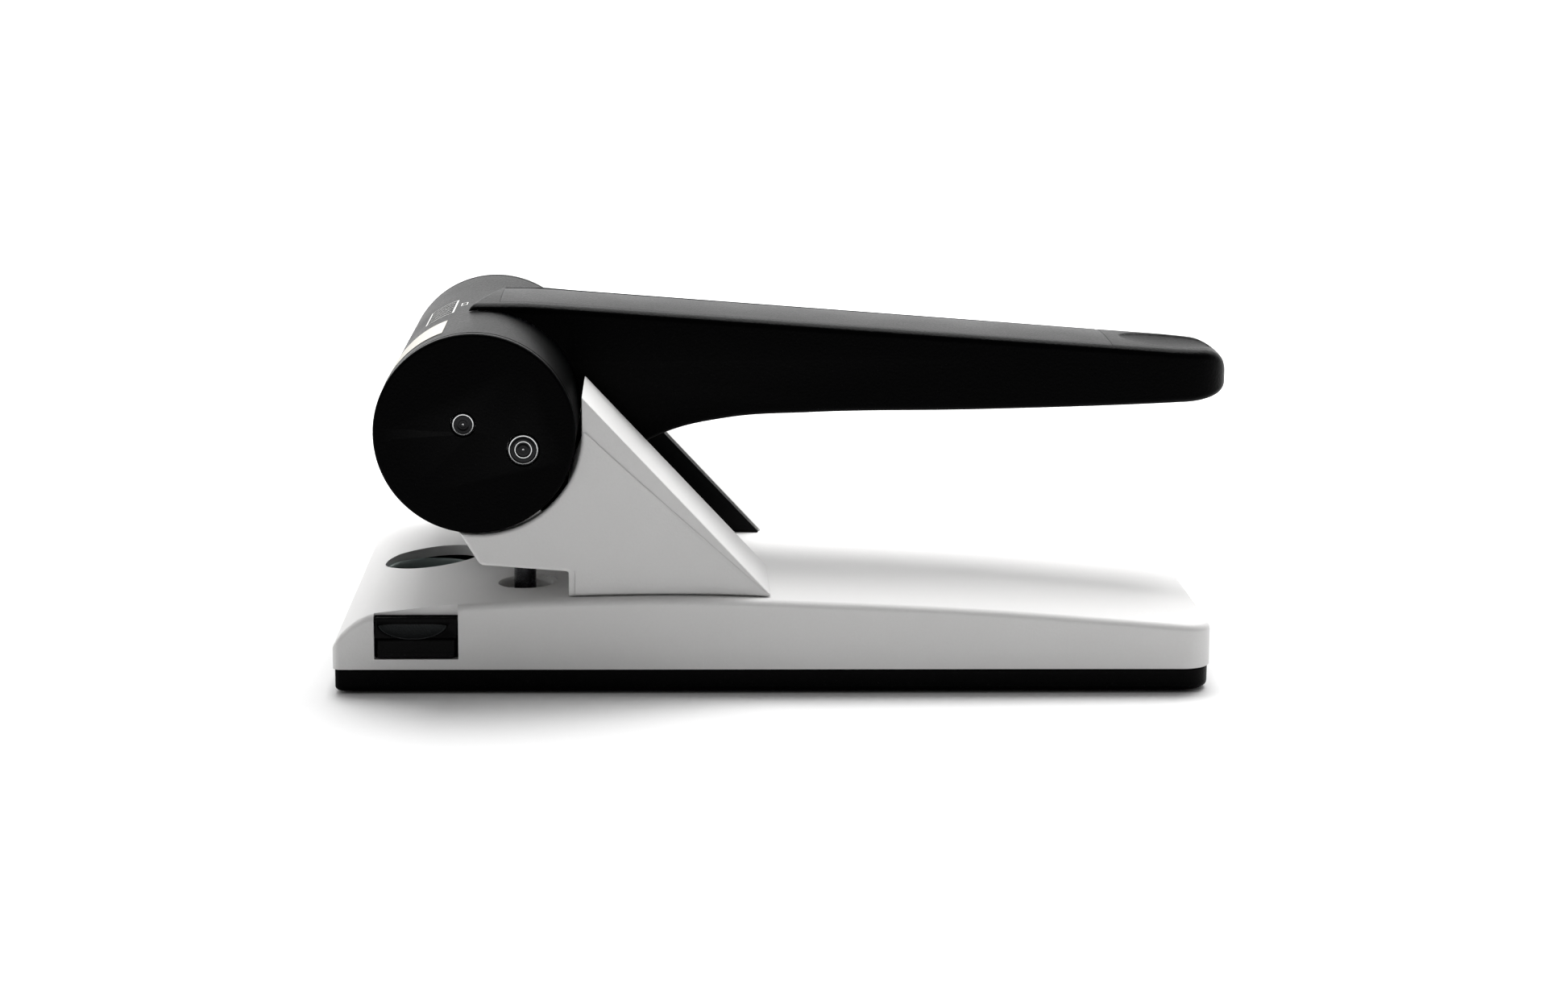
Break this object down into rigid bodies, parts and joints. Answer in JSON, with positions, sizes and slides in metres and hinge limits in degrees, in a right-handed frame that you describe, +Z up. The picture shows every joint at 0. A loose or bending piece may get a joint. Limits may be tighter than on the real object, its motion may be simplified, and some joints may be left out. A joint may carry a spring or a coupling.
{
  "type": "hole punch",
  "caption": "Desk paper punch with a long hand lever on a cross cylinder, two towers with punch pins, a pull-out paper guide and a chip tray.",
  "frame": {"origin": "middle of the underside, on the surface the punch stands on", "axes": "+X from the paper side to the tip of the lever, +Y along the cross cylinder towards the far tower, +Z up"},
  "size_m": [0.24, 0.126, 0.0963],
  "materials": {
    "white_plastic": "fine-grained matt moulding",
    "black_plastic": "fine-grained satin moulding",
    "black_panel": "fine-grained satin moulding",
    "black_steel": "black painted sheet steel",
    "zinc_steel": "turned and zinc plated",
    "tool_steel": "hardened and blackened",
    "window_plastic": "polished tinted plastic",
    "rubber": "soft matt",
    "label_paper": "blank sticker"
  },
  "bodies": {
    "base": {"base_housing": "white_plastic", "window_bezel": "window_plastic", "window_lens": "window_plastic", "die_plate": "zinc_steel", "pivot_shaft": "zinc_steel", "die_ring_near": "zinc_steel", "tower_cover_near": "white_plastic", "inner_cheek_near": "black_steel", "outer_cheek_near": "zinc_steel", "pin_guide_near": "zinc_steel", "foot_block_near": "zinc_steel", "frame_screw_near_1": "zinc_steel", "frame_screw_near_2": "zinc_steel", "pivot_clip_near": "zinc_steel", "return_spring_near": "zinc_steel", "die_ring_far": "zinc_steel", "tower_cover_far": "white_plastic", "inner_cheek_far": "black_steel", "outer_cheek_far": "zinc_steel", "pin_guide_far": "zinc_steel", "foot_block_far": "zinc_steel", "frame_screw_far_1": "zinc_steel", "frame_screw_far_2": "zinc_steel", "pivot_clip_far": "zinc_steel", "return_spring_far": "zinc_steel"},
    "lever": {"hub_shell": "black_plastic", "hub_cap_near": "black_plastic", "hub_cap_far": "black_plastic", "lever_plate_near": "zinc_steel", "lever_plate_far": "zinc_steel", "drive_shaft": "zinc_steel", "handle_body": "black_plastic", "handle_top_panel": "black_panel", "handle_underside": "black_plastic", "lever_core": "zinc_steel", "blank_label": "label_paper"},
    "punch_near": {"punch_pin_near": "tool_steel", "punch_head_near": "zinc_steel"},
    "punch_far": {"punch_pin_far": "tool_steel", "punch_head_far": "zinc_steel"},
    "paper_guide": {"guide_bar": "black_plastic", "guide_end_block": "black_plastic", "guide_thumb_catch": "black_plastic"},
    "tray": {"chip_tray": "black_plastic", "rubber_pad_1": "rubber", "rubber_pad_2": "rubber", "rubber_pad_3": "rubber", "rubber_pad_4": "rubber"}
  },
  "joints": [
    {"name": "lever_hinge", "type": "hinge", "parent": "base", "child": "lever", "pos_m": [-0.0858, 0, 0.0705], "axis": [0, -1, 0], "range_deg": [0, 38]},
    {"name": "punch_near_slide", "type": "slide", "parent": "base", "child": "punch_near", "axis": [0, 0, 1], "range_m": [0, 0.011], "deforming": ["return_spring_near"]},
    {"name": "punch_far_slide", "type": "slide", "parent": "base", "child": "punch_far", "axis": [0, 0, 1], "range_m": [0, 0.011], "deforming": ["return_spring_far"]},
    {"name": "guide_slide", "type": "slide", "parent": "base", "child": "paper_guide", "axis": [0, -1, 0], "range_m": [0, 0.095]},
    {"name": "tray_release", "type": "slide", "parent": "base", "child": "tray", "axis": [0, 0, -1], "range_m": [0, 0.04]}
  ],
  "couplings": [
    {"joint": "punch_near_slide", "follows": "lever_hinge", "m_per_rad": 0.01628},
    {"joint": "punch_far_slide", "follows": "lever_hinge", "m_per_rad": 0.01628}
  ]
}
